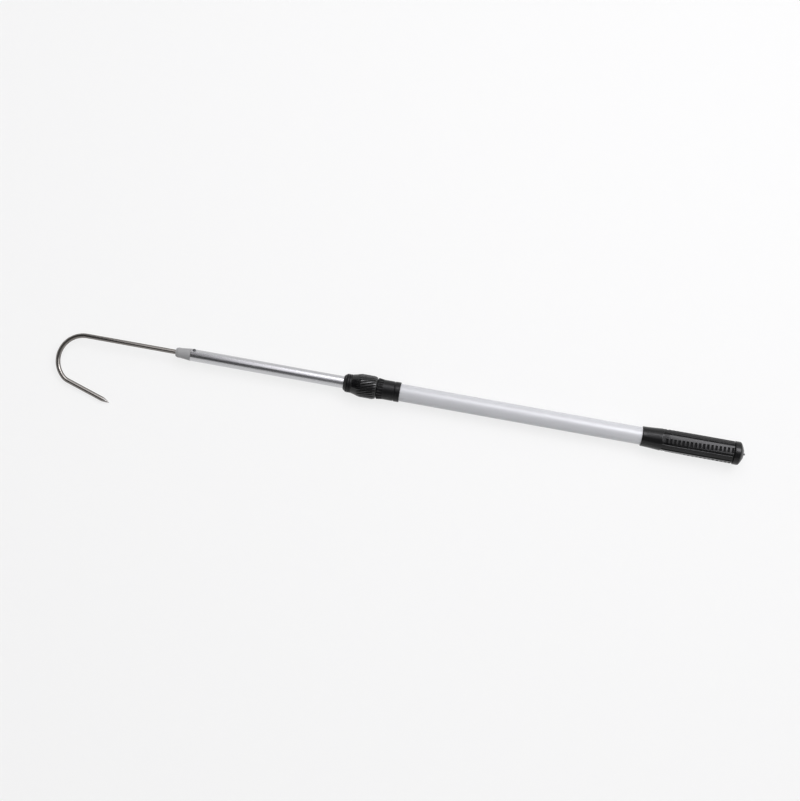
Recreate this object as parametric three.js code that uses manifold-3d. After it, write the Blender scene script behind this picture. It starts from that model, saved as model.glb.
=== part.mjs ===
// Telescoping fishing gaff with an external twist lock, lying on a flat surface.
// Millimetres. The gaff's axis runs along X, with the hook towards -X and the grip towards +X.
// The head is rolled about that axis until the leg of the hook rests on the surface.
import * as THREE from 'three';
import { mergeVertices } from 'three/addons/utils/BufferGeometryUtils.js';
import Module from 'manifold-3d';

const wasm = await Module();
wasm.setup();
const radians = THREE.MathUtils.degToRad;

// Driving dimensions of the two tubes
const lowerTube = { radius: 11.5, wall: 1, shown: 319, edge: 0.2 };
const upperTube = { radius: 8, wall: 0.9, length: 470, shown: 204.9, edge: 0.2 };

// Driving dimensions of the hook, bent from round bar
const hook = {
  barRadius: 3,
  shankShown: 120,
  bendRadius: 33.6,
  bendAngle: radians(137.2),
  closingRadius: 19.5,
  closingAngle: radians(25),
  legLength: 61.9,
  pointLength: 9.5,
  tipRadius: 0.35,
  endBeyondNut: 1.8,
  endChamfer: 0.7,
};

// Plug that carries the hook in the front of the upper tube
const ferrule = {
  shown: 19.9,
  inside: 26,
  faceWall: 2.2,
  noseWall: 3.35,
  noseLength: 3,
  waistWall: 3.3,
  waistLength: 6.5,
  bootStep: 0.75,
  bootLength: 12.5,
  leadIn: 1,
};
const washer = { rimGap: 0.9, thickness: 1.2 };
const hexNut = { wall: 1.7, thickness: 5, chamfer: 0.6 };
const rivet = {
  setback: 3.2,
  turn: radians(35),
  headRadius: 2.3,
  headHeight: 1.3,
  headGap: 0.1,
  bodyRadius: 1.6,
  endGap: 0.8,
};

// Tail of the upper tube: a grooved plug with a split guide ring
const tailPlug = {
  inside: 18,
  flangeGap: 0.7,
  frontFlange: 2,
  rearFlange: 2.5,
  neckStep: 0.1,
  leadIn: 1,
  wall: 2.3,
  endWall: 7,
  pinSetback: 9,
  pinRadius: 1.5,
  pinSink: 0.2,
};
const guideRing = { length: 8, slit: 1.8, edge: 0.5 };

// Twist lock: collet, nut and threaded body
const collet = {
  ringLength: 10.45,
  ringWall: 3.95,
  faceWall: 1.4,
  noseLength: 4,
  ringEdge: 0.4,
  grooveDepth: 0.45,
  grooveWidth: 0.9,
  grooveAt: [4.3, 7.4],
  neckWall: 1.6,
  beadStep: 0.6,
  beadLength: 1.5,
  sleeveWall: 2,
  fingerWall: 0.85,
  fingerLength: 5.5,
  slit: 1.2,
  slitFrom: 1.6,
};
const nut = {
  length: 33.05,
  wall: 2.3,
  frontStep: 0.15,
  rearStep: 1.15,
  rearEdge: 0.7,
  wristLength: 2.6,
  swellLength: 12,
  shoulderLength: 4.6,
  ribs: 24,
  ribHeight: 1.1,
  ribAngle: radians(20),
  lipLength: 2.5,
  chamberGap: 0.4,
  chamberLength: 4.7,
  restGap: 0.6,
};
const thread = {
  pitch: 4,
  height: 1,
  crestWidth: 0.8,
  rootWidth: 1.6,
  leastHeight: 0.03,
  start: 2,
  stop: 3,
  radialGap: 0.45,
  flankGap: 0.3,
};
const spigot = { noseGap: 0.8, noseEdge: 0.5, noseWall: 1, coneLength: 10.5 };
const collar = {
  length: 30.6,
  wall: 1.15,
  frontStep: 0.35,
  frontEdge: 0.7,
  coneLength: 9.8,
  web: 2,
  rearEdge: 0.5,
  beadStep: 0.2,
  beadLength: 7.2,
  beadEdge: 0.9,
  grooveWidth: 1.4,
  grooveDepth: 0.5,
  teeth: 22,
  toothHeight: 0.8,
  toothWidth: 2.2,
  toothLength: 9,
};
const bush = { flange: 2, flangeStep: 0.3, sleeve: 17 };

// Grip and the cap in its end
const grip = {
  length: 119.6,
  frontWall: 0.95,
  wall: 2.85,
  taperLength: 38,
  frontEdge: 0.6,
  rearEdge: 0.5,
  tubeSetback: 4.5,
  slots: 17,
  firstSlot: 27,
  lastSlot: 5.2,
  slotLength: 2.7,
  slotDepth: 1.3,
  grooveDepth: 0.7,
  grooveMargin: 2.6,
  grooveFade: 1.2,
  frontTurn: radians(-4.1),
  rearTurn: radians(4.4),
};
const cap = {
  neckStep: 1.05,
  neckLength: 2.2,
  flangeStep: 0.55,
  flangeLength: 7.5,
  flangeFrontEdge: 0.5,
  flangeEdge: 2.1,
  crownFlat: 8.7,
  crownHeight: 3.5,
  nibRadius: 1.3,
  nibLength: 2.4,
  plugLength: 14,
  plugWall: 1.6,
};

// Clearances: between pieces that are fixed together, and between pieces that slide or turn
const seatGap = 0.3;
const runningGap = 0.3;
const overrun = 1;

// Numbers of faces
const roundSides = 26;
const smallSides = 16;
const barSides = 16;
const threadSides = 14;
const hexSides = 6;
const bendStep = radians(10);

// Stations along the axis, counted from the front face of the lock
const nutFront = collet.ringLength + seatGap;
const nutRear = nutFront + nut.length;
const nutChamberFront = nutFront + nut.lipLength;
const nutThreadFront = nutChamberFront + nut.chamberLength;
const spigotFront = nutThreadFront + spigot.noseGap;
const collarFront = nutRear + nut.restGap;
const collarRear = collarFront + collar.length;
const collarStop = collarFront + collar.web;
const bushFront = collarStop + seatGap;
const lowerTubeFront = bushFront + bush.flange + seatGap;
const bushRear = lowerTubeFront + bush.sleeve;
const gripFront = collarRear + lowerTube.shown;
const gripRear = gripFront + grip.length;
const lowerTubeRear = gripRear - grip.tubeSetback;
const capFront = gripRear + seatGap;
const upperTubeFront = -upperTube.shown;
const upperTubeRear = upperTubeFront + upperTube.length;
const ferruleFront = upperTubeFront - seatGap - ferrule.shown;
const ferruleRear = upperTubeFront + ferrule.inside;
const washerFront = ferruleRear + seatGap;
const hexNutFront = washerFront + washer.thickness + seatGap;
const hookRear = hexNutFront + hexNut.thickness + hook.endBeyondNut;
const bendStart = ferruleFront - hook.shankShown;

// Radii that follow from the tubes, the bar and the walls round them
const lowerBore = lowerTube.radius - lowerTube.wall;
const upperBore = upperTube.radius - upperTube.wall;
const slidingBore = upperTube.radius + runningGap;
const barBore = hook.barRadius + seatGap;
const tubeSocket = lowerTube.radius + seatGap;
const colletRadius = slidingBore + collet.ringWall;
const colletNeckRadius = slidingBore + collet.neckWall;
const colletBeadRadius = colletNeckRadius + collet.beadStep;
const colletSleeveRadius = slidingBore + collet.sleeveWall;
const threadRoot = colletSleeveRadius + seatGap + spigot.noseWall;
const threadCrest = threadRoot + thread.height;
const nutRadius = threadCrest + thread.radialGap + nut.wall;
const nutRearRadius = nutRadius - nut.rearStep;
const nutFrontRadius = colletRadius + nut.frontStep;
const collarRadius = Math.max(tubeSocket, threadRoot) + collar.wall;
const collarFrontRadius = collarRadius + collar.frontStep;
const collarBeadRadius = collarRadius + collar.beadStep;
const gripFrontRadius = tubeSocket + grip.frontWall;
const gripRadius = tubeSocket + grip.wall;
const capFlangeRadius = gripRadius + cap.flangeStep;
const capNeckRadius = gripRadius - cap.neckStep;

// Materials
const finish = (color, roughness, metalness) => new THREE.MeshStandardMaterial({ color, roughness, metalness });
const stainless = finish(0x8f8a84, 0.22, 1);
const aluminium = finish(0xc9cbcd, 0.34, 1);
const zincPlated = finish(0xa7a9ab, 0.4, 1);
const greyPlastic = finish(0x9b9b99, 0.6, 0);
const whiteNylon = finish(0xdcdad2, 0.55, 0);
const blackPlastic = finish(0x1d1d1f, 0.42, 0);

// Closed solid for joining and cutting: shared corners merged, faces without area left out
const solid = (geometry) => {
  const bare = geometry.clone();
  bare.deleteAttribute('normal');
  bare.deleteAttribute('uv');
  const merged = mergeVertices(bare);
  const corners = merged.index.array;
  const kept = [];
  for (let i = 0; i < corners.length; i += 3) {
    const [a, b, c] = corners.slice(i, i + 3);
    if (a !== b && b !== c && c !== a) kept.push(a, b, c);
  }
  const vertProperties = new Float32Array(merged.attributes.position.array);
  return new wasm.Manifold(new wasm.Mesh({ numProp: 3, vertProperties, triVerts: Uint32Array.from(kept) }));
};

const geometryOf = (manifold) => {
  const { vertProperties, triVerts } = manifold.getMesh();
  const geometry = new THREE.BufferGeometry();
  geometry.setAttribute('position', new THREE.BufferAttribute(vertProperties, 3));
  geometry.setIndex(new THREE.BufferAttribute(triVerts, 1));
  return geometry;
};

// Cuts a list of tools from a geometry
const cutFrom = (geometry, tools) => {
  const whole = tools.reduce((left, tool) => left.subtract(solid(tool)), solid(geometry));
  return geometryOf(whole);
};

// Joins a list of pieces to a geometry
const joinTo = (geometry, pieces) => {
  const whole = pieces.reduce((sum, piece) => sum.add(solid(piece)), solid(geometry));
  return geometryOf(whole);
};

// Body turned about the X axis. The outline holds [x, radius] points: out along the front
// face, back along the outside to the rear, in along the rear face and forward along the bore.
const turned = (outline, sides = roundSides) => {
  const points = outline.map(([x, radius]) => new THREE.Vector2(radius, x));
  return new THREE.LatheGeometry([...points, points[0]], sides).rotateZ(-Math.PI / 2);
};

// Body turned about the X axis whose outline starts and ends on the axis
const turnedSolid = (outline, sides = roundSides) => {
  const points = outline.map(([x, radius]) => new THREE.Vector2(radius, x));
  return new THREE.LatheGeometry(points, sides).rotateZ(-Math.PI / 2);
};

const plainRod = (from, to, radius, sides) => turnedSolid([[from, 0], [from, radius], [to, radius], [to, 0]], sides);

// Skin over a row of closed loops with a fan over each end. Every loop runs
// right-handed about the direction in which the row travels.
const skin = (loops) => {
  const count = loops[0].length;
  const points = loops.flat();
  const faces = [];
  for (let ring = 0; ring + 1 < loops.length; ring += 1) {
    for (let i = 0; i < count; i += 1) {
      const a = ring * count + i;
      const b = ring * count + (i + 1) % count;
      faces.push(a, b, a + count, b, b + count, a + count);
    }
  }
  const centre = (loop) => loop.reduce((sum, p) => sum.add(p), new THREE.Vector3()).divideScalar(loop.length);
  const start = points.push(centre(loops[0])) - 1;
  const end = points.push(centre(loops.at(-1))) - 1;
  const last = (loops.length - 1) * count;
  for (let i = 0; i < count; i += 1) {
    const next = (i + 1) % count;
    faces.push(start, next, i, end, last + i, last + next);
  }
  const geometry = new THREE.BufferGeometry().setFromPoints(points);
  geometry.setIndex(faces);
  return geometry;
};

// Point at an angle round the X axis, counted from +Y towards +Z
const around = (x, radius, angle) => new THREE.Vector3(x, radius * Math.cos(angle), radius * Math.sin(angle));

const smooth = (share) => THREE.MathUtils.smoothstep(share, 0, 1);

// Hook: bar swept along shank, main bend, tighter closing bend and opened leg, then ground to
// a point. It lies in the XY plane with its shank on the axis and its gap towards -Y.
const hookStations = () => {
  const stations = [];
  const place = new THREE.Vector2(hookRear, 0);
  const heading = (angle) => new THREE.Vector2(-Math.cos(angle), -Math.sin(angle));
  const add = (angle, radius) => stations.push({ place: place.clone(), angle, radius });
  const run = (angle, length) => place.addScaledVector(heading(angle), length);
  const bend = (from, turn, bendRadius) => {
    const steps = Math.ceil(turn / bendStep);
    const chord = 2 * bendRadius * Math.sin(turn / steps / 2);
    for (let i = 0; i < steps; i += 1) {
      run(from + (i + 1 / 2) * turn / steps, chord);
      add(from + (i + 1) * turn / steps, hook.barRadius);
    }
  };
  add(0, hook.barRadius - hook.endChamfer);
  run(0, hook.endChamfer);
  add(0, hook.barRadius);
  run(0, hookRear - hook.endChamfer - bendStart);
  add(0, hook.barRadius);
  bend(0, hook.bendAngle, hook.bendRadius);
  bend(hook.bendAngle, hook.closingAngle, hook.closingRadius);
  const legAngle = hook.bendAngle + hook.closingAngle;
  run(legAngle, hook.legLength - hook.pointLength);
  add(legAngle, hook.barRadius);
  const pointSteps = 5;
  const pointFullness = 1.4;
  for (let i = 1; i <= pointSteps; i += 1) {
    const taperShare = 1 - (i / pointSteps) ** pointFullness;
    run(legAngle, hook.pointLength / pointSteps);
    add(legAngle, hook.tipRadius + (hook.barRadius - hook.tipRadius) * taperShare);
  }
  return stations;
};

const hookBar = () => {
  const up = new THREE.Vector3(0, 0, 1);
  const loops = hookStations().map(({ place, angle, radius }) => {
    const side = new THREE.Vector3(Math.sin(angle), -Math.cos(angle), 0);
    return Array.from({ length: barSides }, (_, i) => {
      const turn = 2 * Math.PI * i / barSides;
      return new THREE.Vector3(place.x, place.y, 0)
        .addScaledVector(side, radius * Math.cos(turn))
        .addScaledVector(up, radius * Math.sin(turn));
    });
  });
  return skin(loops);
};

// How far the full bar of the leg lies from the gaff's axis where its point begins
const legReach = -hookStations().filter(({ radius }) => radius === hook.barRadius).at(-1).place.y;
const restTilt = Math.asin((nutRadius - hook.barRadius) / legReach);

// The rivet stands above the spine side of the hook and stops short of the bar
const rivetAt = upperTubeFront + rivet.setback;
const rivetEnd = barBore + rivet.endGap;

const rivetHole = (depth) => {
  const hole = plainRod(-depth, overrun, rivet.bodyRadius + seatGap, smallSides);
  return hole.rotateZ(Math.PI / 2).translate(rivetAt, upperTube.radius, 0).rotateX(rivet.turn);
};

// Cross pin through the tail plug, flush with the tube
const tailPinAt = upperTubeRear - tailPlug.pinSetback;

const crossPin = (halfLength, radius) => {
  const pin = plainRod(-halfLength, halfLength, radius, smallSides);
  return pin.rotateZ(Math.PI / 2).translate(tailPinAt, 0, 0);
};

const tailPinHole = () => crossPin(upperTube.radius + overrun, tailPlug.pinRadius + seatGap);

const ferrulePlug = () => {
  const plugRadius = upperBore - seatGap;
  const shoulder = ferruleFront + ferrule.shown;
  const body = turned([
    [ferruleFront, barBore],
    [ferruleFront, barBore + ferrule.faceWall],
    [ferruleFront + ferrule.noseLength, barBore + ferrule.noseWall],
    [ferruleFront + ferrule.waistLength, barBore + ferrule.waistWall],
    [ferruleFront + ferrule.bootLength, upperTube.radius - ferrule.bootStep],
    [shoulder - ferrule.leadIn, upperTube.radius],
    [shoulder, upperTube.radius],
    [shoulder, plugRadius],
    [ferruleRear - ferrule.leadIn, plugRadius],
    [ferruleRear, plugRadius - ferrule.leadIn],
    [ferruleRear, barBore],
  ]);
  const holeDepth = upperTube.radius - rivetEnd + seatGap;
  return cutFrom(body, [rivetHole(holeDepth)]);
};

const hookWasher = () => turned([
  [washerFront, barBore],
  [washerFront, upperBore - washer.rimGap],
  [washerFront + washer.thickness, upperBore - washer.rimGap],
  [washerFront + washer.thickness, barBore],
], smallSides);

const hookLockNut = () => {
  const flatRadius = barBore + hexNut.wall;
  const cornerRadius = 2 * flatRadius / Math.sqrt(3);
  const rear = hexNutFront + hexNut.thickness;
  const prism = plainRod(hexNutFront, rear, cornerRadius, hexSides);
  const chamfered = turned([
    [hexNutFront, barBore],
    [hexNutFront, flatRadius],
    [hexNutFront + hexNut.chamfer, cornerRadius],
    [rear - hexNut.chamfer, cornerRadius],
    [rear, flatRadius],
    [rear, barBore],
  ], smallSides);
  return geometryOf(solid(prism).intersect(solid(chamfered)));
};

// Domed rivet whose body points towards the axis; its head sits on the tube, turned up from +Y
const ferruleRivet = () => {
  const under = upperTube.radius + rivet.headGap;
  const domeSteps = 5;
  const dome = Array.from({ length: domeSteps + 1 }, (_, i) => {
    const turn = Math.PI / 2 * i / domeSteps;
    return [under + rivet.headHeight * Math.sin(turn), rivet.headRadius * Math.cos(turn)];
  });
  dome[domeSteps][1] = 0;
  const profile = [[rivetEnd, 0], [rivetEnd, rivet.bodyRadius], [under, rivet.bodyRadius], ...dome];
  const upright = turnedSolid(profile, smallSides).rotateZ(Math.PI / 2);
  return upright.translate(rivetAt, 0, 0).rotateX(rivet.turn);
};

// Tube with its edges taken off
const tube = (from, to, { radius, wall, edge }) => turned([
  [from, radius - wall],
  [from, radius - edge],
  [from + edge, radius],
  [to - edge, radius],
  [to, radius - edge],
  [to, radius - wall],
]);

const upperTubeBody = () => {
  const plain = tube(upperTubeFront, upperTubeRear, upperTube);
  return cutFrom(plain, [rivetHole(2 * upperTube.wall), tailPinHole()]);
};

const tailGrooveFront = upperTubeRear + seatGap + tailPlug.frontFlange;
const tailGrooveRear = tailGrooveFront + guideRing.length + 2 * seatGap;
const tailRear = tailGrooveRear + tailPlug.rearFlange;
const tailNeckRadius = upperTube.radius - tailPlug.neckStep;

const tailPlugBody = () => {
  const front = upperTubeRear - tailPlug.inside;
  const plugRadius = upperBore - seatGap;
  const boreRadius = plugRadius - tailPlug.wall;
  const flangeRadius = lowerBore - tailPlug.flangeGap;
  const body = turnedSolid([
    [tailRear - tailPlug.endWall, 0],
    [tailRear - tailPlug.endWall, boreRadius],
    [front, boreRadius],
    [front, plugRadius - tailPlug.leadIn],
    [front + tailPlug.leadIn, plugRadius],
    [upperTubeRear + seatGap, plugRadius],
    [upperTubeRear + seatGap, flangeRadius],
    [tailGrooveFront, flangeRadius],
    [tailGrooveFront, tailNeckRadius],
    [tailGrooveRear, tailNeckRadius],
    [tailGrooveRear, flangeRadius],
    [tailRear, flangeRadius],
    [tailRear, 0],
  ], smallSides);
  return cutFrom(body, [tailPinHole()]);
};

// Split ring that runs in the lower tube and lets the head turn in it
const guideRingBody = () => {
  const front = tailGrooveFront + seatGap;
  const rear = front + guideRing.length;
  const outside = lowerBore - runningGap;
  const inside = tailNeckRadius + seatGap;
  const edge = Math.min(guideRing.edge, (outside - inside) / 2);
  const ring = turned([
    [front, inside],
    [front, outside - edge],
    [front + edge, outside],
    [rear - edge, outside],
    [rear, outside - edge],
    [rear, inside],
  ]);
  const slit = new THREE.BoxGeometry(guideRing.length + 2 * overrun, outside + overrun, guideRing.slit);
  slit.translate((front + rear) / 2, -(outside + overrun) / 2, 0);
  return cutFrom(ring, [slit]);
};

// Collet: a grooved ring that shows ahead of the nut, and split fingers that the nut
// draws into the cone of the lock body
const colletBody = () => {
  const neckRear = nutChamberFront + seatGap;
  const beadRear = neckRear + collet.beadLength;
  const fingerRear = spigotFront + collet.fingerLength;
  const grooves = collet.grooveAt.flatMap((x) => [
    [x, colletRadius],
    [x + collet.grooveWidth / 2, colletRadius - collet.grooveDepth],
    [x + collet.grooveWidth, colletRadius],
  ]);
  const noseSteps = 3;
  const faceRadius = slidingBore + collet.faceWall;
  const nose = Array.from({ length: noseSteps + 1 }, (_, i) => {
    const turn = Math.PI / 2 * i / noseSteps;
    const radius = faceRadius + (colletRadius - faceRadius) * Math.sin(turn);
    return [collet.noseLength * (1 - Math.cos(turn)), radius];
  });
  const body = turned([
    [0, slidingBore],
    ...nose,
    ...grooves,
    [collet.ringLength - collet.ringEdge, colletRadius],
    [collet.ringLength, colletRadius - collet.ringEdge],
    [collet.ringLength, colletNeckRadius],
    [neckRear, colletNeckRadius],
    [neckRear, colletBeadRadius],
    [beadRear, colletBeadRadius],
    [beadRear, colletSleeveRadius],
    [spigotFront, colletSleeveRadius],
    [fingerRear, slidingBore + collet.fingerWall],
    [fingerRear, slidingBore],
  ]);
  const slitFront = collet.ringLength + collet.slitFrom;
  const slitLength = fingerRear + overrun - slitFront;
  const across = 2 * (colletBeadRadius + overrun);
  const slits = [0, Math.PI / 2].map((turn) => {
    const slit = new THREE.BoxGeometry(slitLength, across, collet.slit);
    return slit.rotateX(turn).translate(slitFront + slitLength / 2, 0, 0);
  });
  return cutFrom(body, slits);
};

// Helical bar with a trapezoid section, right-handed, from one station to another.
// It fades to nothing over the first and last share of a turn.
const helix = ({ from, to, baseRadius, topRadius, baseWidth, topWidth, fadeTurns }) => {
  const turns = (to - from) / thread.pitch;
  const steps = Math.round(turns * threadSides);
  const loops = Array.from({ length: steps + 1 }, (_, i) => {
    const turn = turns * i / steps;
    const fade = fadeTurns ? Math.min(1, turn / fadeTurns, (turns - turn) / fadeTurns) : 1;
    const top = baseRadius + (topRadius - baseRadius) * fade;
    const topHalf = (baseWidth + (topWidth - baseWidth) * fade) / 2;
    const x = from + turn * thread.pitch;
    const angle = 2 * Math.PI * turn;
    const tip = Math.max(top, baseRadius + thread.leastHeight);
    return [
      around(x + baseWidth / 2, baseRadius, angle),
      around(x + topHalf, tip, angle),
      around(x - topHalf, tip, angle),
      around(x - baseWidth / 2, baseRadius, angle),
    ];
  });
  return skin(loops);
};

const threadSlope = (thread.rootWidth - thread.crestWidth) / (threadCrest - threadRoot);
const threadWidthAt = (radius) => thread.crestWidth + (threadCrest - radius) * threadSlope;
const threadFadeTurns = 0.4;
const threadFront = spigotFront + thread.start;

const outerThread = () => {
  const sunkRadius = threadRoot - seatGap;
  return helix({
    from: threadFront,
    to: collarFront - thread.stop,
    baseRadius: sunkRadius,
    topRadius: threadCrest,
    baseWidth: threadWidthAt(sunkRadius),
    topWidth: thread.crestWidth,
    fadeTurns: threadFadeTurns,
  });
};

// Thread cutter for the nut: the lock body's thread with clearance on its flanks and crest,
// started further forward by some steps of a turn and run out through the rear face
const innerThreadCutter = () => {
  const innerRadius = threadRoot;
  const leadSteps = 4;
  const topRadius = threadCrest + thread.radialGap;
  return helix({
    from: threadFront - thread.pitch * leadSteps / threadSides,
    to: nutRear + thread.pitch,
    baseRadius: innerRadius,
    topRadius,
    baseWidth: threadWidthAt(innerRadius) + 2 * thread.flankGap,
    topWidth: threadWidthAt(topRadius) + 2 * thread.flankGap,
    fadeTurns: 0,
  }).rotateX(-2 * Math.PI * leadSteps / threadSides);
};

// Outside radius of the nut: a wrist, a swell up to the barrel, and a shoulder at the rear
const nutRadiusAt = (x) => {
  const swell = smooth((x - nutFront - nut.wristLength) / nut.swellLength);
  const shoulder = smooth((x - nutRear + nut.shoulderLength) / nut.shoulderLength);
  return nutFrontRadius + (nutRadius - nutFrontRadius) * swell - (nutRadius - nutRearRadius) * shoulder;
};

// Lock nut: a barrel with helical grip ribs, bored, chambered and threaded
const lockNut = () => {
  const stationShares = [0, 0.12, 0.2, 0.29, 0.38, 0.61, 0.84, 0.9, 0.96];
  const [riseShare, riseEndShare, fallShare, fallEndShare] = [0.2, 0.38, 0.84, 0.96];
  const ribShareAt = (share) => {
    const rise = smooth((share - riseShare) / (riseEndShare - riseShare));
    return rise * (1 - smooth((share - fallShare) / (fallEndShare - fallShare)));
  };
  const ribLevelShares = [1, 1, 0.1];
  const twist = Math.tan(nut.ribAngle) / nutRadius;
  const ring = (x, radius, ribDepth) => {
    const perTurn = nut.ribs * ribLevelShares.length;
    return Array.from({ length: perTurn }, (_, i) => {
      const level = ribLevelShares[i % ribLevelShares.length];
      const angle = 2 * Math.PI * i / perTurn - twist * (x - nutFront);
      return around(x, radius - ribDepth * (1 - level), angle);
    });
  };
  const loops = stationShares.map((share) => {
    const x = nutFront + nut.length * share;
    return ring(x, nutRadiusAt(x), nut.ribHeight * ribShareAt(share));
  });
  loops.push(ring(nutRear, nutRearRadius - nut.rearEdge, 0));
  const threadBore = threadRoot + thread.radialGap;
  const chamberRadius = Math.max(colletBeadRadius, colletSleeveRadius) + nut.chamberGap;
  const lipBore = plainRod(nutFront - overrun, nutThreadFront, colletNeckRadius + seatGap, roundSides);
  const chamber = plainRod(nutChamberFront, nutThreadFront + overrun, chamberRadius, roundSides);
  const bore = plainRod(nutThreadFront, nutRear + overrun, threadBore, threadSides);
  return cutFrom(skin(loops), [lipBore, chamber, bore, innerThreadCutter()]);
};

// Lock body: threaded spigot with an inner cone, and the collar that holds the lower tube
const lockBody = () => {
  const coneRadius = colletSleeveRadius + seatGap;
  const beadFront = collarRear - collar.beadLength;
  const grooveFront = beadFront - collar.grooveWidth;
  const body = turned([
    [spigotFront, coneRadius],
    [spigotFront, threadRoot - spigot.noseEdge],
    [spigotFront + spigot.noseEdge, threadRoot],
    [collarFront, threadRoot],
    [collarFront, collarFrontRadius - collar.frontEdge],
    [collarFront + collar.frontEdge, collarFrontRadius],
    [collarFront + collar.coneLength, collarRadius],
    [grooveFront, collarRadius],
    [grooveFront + collar.grooveDepth, collarRadius - collar.grooveDepth],
    [beadFront - collar.grooveDepth, collarRadius - collar.grooveDepth],
    [beadFront, collarRadius],
    [beadFront + collar.beadEdge, collarBeadRadius],
    [collarRear - collar.beadEdge, collarBeadRadius],
    [collarRear, collarBeadRadius - collar.rearEdge],
    [collarRear, tubeSocket],
    [collarStop, tubeSocket],
    [collarStop, slidingBore],
    [spigotFront + spigot.coneLength, slidingBore],
  ]);
  const teeth = Array.from({ length: collar.teeth }, (_, i) => {
    const angle = 2 * Math.PI * i / collar.teeth;
    const front = collarFront + collar.frontEdge;
    const end = (x, top) => {
      const base = collarRadius - collar.grooveDepth;
      const half = collar.toothWidth / 2 / collarRadius;
      return [
        around(x, base, angle - half),
        around(x, top, angle),
        around(x, base, angle + half),
      ];
    };
    return skin([
      end(front, collarFrontRadius + collar.toothHeight),
      end(front + collar.toothLength, collarRadius),
    ]);
  });
  return joinTo(body, [outerThread(), ...teeth]);
};

// Plain bearing for the upper tube in the mouth of the lower tube
const frontBush = () => turned([
  [bushFront, slidingBore],
  [bushFront, lowerTube.radius - bush.flangeStep],
  [bushFront + bush.flange, lowerTube.radius - bush.flangeStep],
  [bushFront + bush.flange, lowerBore - seatGap],
  [bushRear, lowerBore - seatGap],
  [bushRear, slidingBore],
]);

// Grip: four ladder panels, each a row of slots between two rails with a groove outside them.
// The panels wind slightly round the grip from its front to its rear.
const gripSectionShares = [
  [-0.5, 0], [-0.39, 0], [-0.36, 1], [-0.3, 1], [-0.27, 0],
  [-0.16, 0], [0, 0], [0.16, 0],
  [0.27, 0], [0.3, 1], [0.36, 1], [0.39, 0],
];
const slotHalfShare = 0.14;
const panels = 4;
const panelAngle = 2 * Math.PI / panels;

const gripRadiusAt = (x) => {
  const share = smooth((x - gripFront) / grip.taperLength);
  return gripFrontRadius + (gripRadius - gripFrontRadius) * share;
};

const gripBody = () => {
  const slotsFront = gripFront + grip.firstSlot;
  const slotsRear = gripRear - grip.lastSlot;
  const slotPitch = (slotsRear - slotsFront) / (grip.slots - 1);
  const grooveFront = slotsFront - grip.slotLength / 2 - grip.grooveMargin;
  const grooveRear = slotsRear + grip.slotLength / 2;
  const firstPanelAngleAt = (x) => {
    const share = THREE.MathUtils.clamp((x - slotsFront) / (slotsRear - slotsFront), 0, 1);
    return Math.PI / 2 - grip.frontTurn - (grip.rearTurn - grip.frontTurn) * share;
  };
  const ring = (x, radius, grooveDepth) => {
    const loop = [];
    for (let panel = 0; panel < panels; panel += 1) {
      for (const [share, groove] of gripSectionShares) {
        const angle = firstPanelAngleAt(x) + (panel + share) * panelAngle;
        loop.push(around(x, radius - grooveDepth * groove, angle));
      }
    }
    return loop;
  };
  const at = (x, grooveDepth = 0) => ring(x, gripRadiusAt(x), grooveDepth);
  const taperShares = [0.2, 0.4];
  const grooveShares = [0.75, 1];
  const loops = [
    ring(gripFront, gripFrontRadius - grip.frontEdge, 0),
    at(gripFront + grip.frontEdge),
    ...taperShares.map((share) => at(gripFront + grip.taperLength * share)),
    at(grooveFront),
    at(grooveFront + grip.grooveFade, grip.grooveDepth),
    ...grooveShares.map((share) => at(gripFront + grip.taperLength * share, grip.grooveDepth)),
    at(grooveRear - grip.grooveFade, grip.grooveDepth),
    at(grooveRear),
    at(gripRear - grip.rearEdge),
    ring(gripRear, gripRadius - grip.rearEdge, 0),
  ];
  const bore = plainRod(gripFront - overrun, gripRear + overrun, tubeSocket, roundSides);
  const slots = [];
  for (let panel = 0; panel < panels; panel += 1) {
    for (let i = 0; i < grip.slots; i += 1) {
      const x = slotsFront + i * slotPitch;
      const radius = gripRadiusAt(x);
      const width = 2 * radius * Math.sin(slotHalfShare * panelAngle);
      const height = grip.slotDepth + overrun;
      const slot = new THREE.BoxGeometry(grip.slotLength, height, width);
      slot.translate(x, radius - grip.slotDepth + height / 2, 0);
      slots.push(slot.rotateX(firstPanelAngleAt(x) + panel * panelAngle));
    }
  }
  return cutFrom(skin(loops), [bore, ...slots]);
};

// Cap: a hollow plug in the lower tube, a neck and a flange with a low crown and a nib
const buttCap = () => {
  const plugRadius = lowerBore - seatGap;
  const flangeFront = capFront + cap.neckLength;
  const flangeRear = flangeFront + cap.flangeLength;
  const crown = flangeRear + cap.crownHeight;
  return turnedSolid([
    [capFront, 0],
    [capFront, plugRadius - cap.plugWall],
    [lowerTubeRear - cap.plugLength, plugRadius - cap.plugWall],
    [lowerTubeRear - cap.plugLength, plugRadius],
    [lowerTubeRear + seatGap, plugRadius],
    [lowerTubeRear + seatGap, lowerTube.radius],
    [capFront, lowerTube.radius],
    [capFront, capNeckRadius],
    [flangeFront, capNeckRadius],
    [flangeFront, capFlangeRadius - cap.flangeFrontEdge],
    [flangeFront + cap.flangeFrontEdge, capFlangeRadius],
    [flangeRear - cap.flangeEdge, capFlangeRadius],
    [flangeRear, capFlangeRadius - cap.flangeEdge],
    [crown, capFlangeRadius - cap.crownFlat],
    [crown, cap.nibRadius],
    [crown + cap.nibLength, cap.nibRadius],
    [crown + cap.nibLength, 0],
  ]);
};

const piece = (name, geometry, material) => {
  const mesh = new THREE.Mesh(geometry, material);
  mesh.name = name;
  return mesh;
};

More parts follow.
